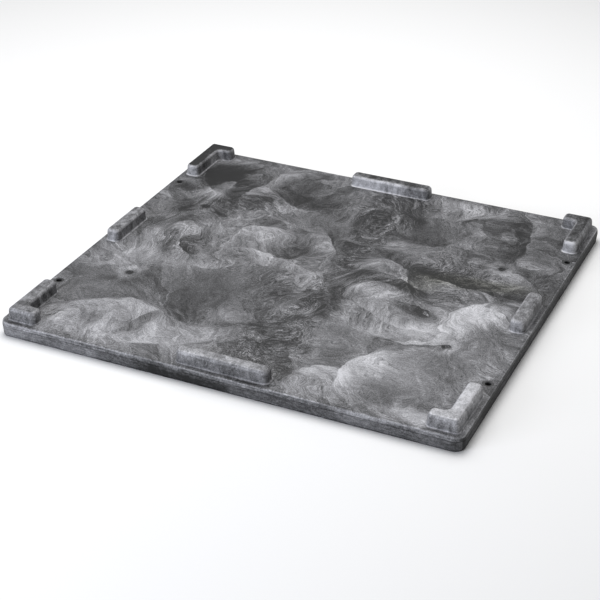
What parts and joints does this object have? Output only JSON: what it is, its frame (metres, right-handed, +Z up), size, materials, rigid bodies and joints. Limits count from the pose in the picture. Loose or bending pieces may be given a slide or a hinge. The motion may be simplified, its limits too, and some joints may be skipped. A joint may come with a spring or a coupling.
{
  "type": "plastic pallet",
  "caption": "Flat closed-deck plastic pallet or stacking cap: marbled grey foam deck on a ribbed base, with raised stacking lugs at the corners and side middles and lashing holes.",
  "frame": {"origin": "centre of the footprint, on the floor under the base grid", "axes": "+X along the 1219 mm side, +Y towards the back along the 1143 mm side, +Z up through the deck"},
  "size_m": [1.2192, 1.143, 0.073],
  "materials": {
    "deck_plastic": "grey and charcoal marbled structural foam, low sheen",
    "base_plastic": "charcoal marbled structural foam, low sheen",
    "lug_plastic": "grey marbled structural foam, low sheen",
    "tube_steel": "galvanised",
    "plug_plastic": "black moulded",
    "sleeve_plastic": "dark moulded",
    "screw_steel": "zinc plated"
  },
  "bodies": {
    "root": {"deck_panel": "deck_plastic", "base_grid": "base_plastic", "corner_lug_front_left": "lug_plastic", "corner_lug_front_right": "lug_plastic", "corner_lug_back_left": "lug_plastic", "corner_lug_back_right": "lug_plastic", "middle_lug_front": "lug_plastic", "middle_lug_back": "lug_plastic", "middle_lug_left": "lug_plastic", "middle_lug_right": "lug_plastic", "stiffener_tube_front": "tube_steel", "stiffener_tube_middle": "tube_steel", "stiffener_tube_back": "tube_steel", "tube_plugs": "plug_plastic", "lashing_sleeve_front_left": "sleeve_plastic", "lashing_sleeve_front_right": "sleeve_plastic", "lashing_sleeve_back_left": "sleeve_plastic", "lashing_sleeve_back_right": "sleeve_plastic", "lug_screws": "screw_steel", "shell_screws": "screw_steel"}
  },
  "joints": []
}
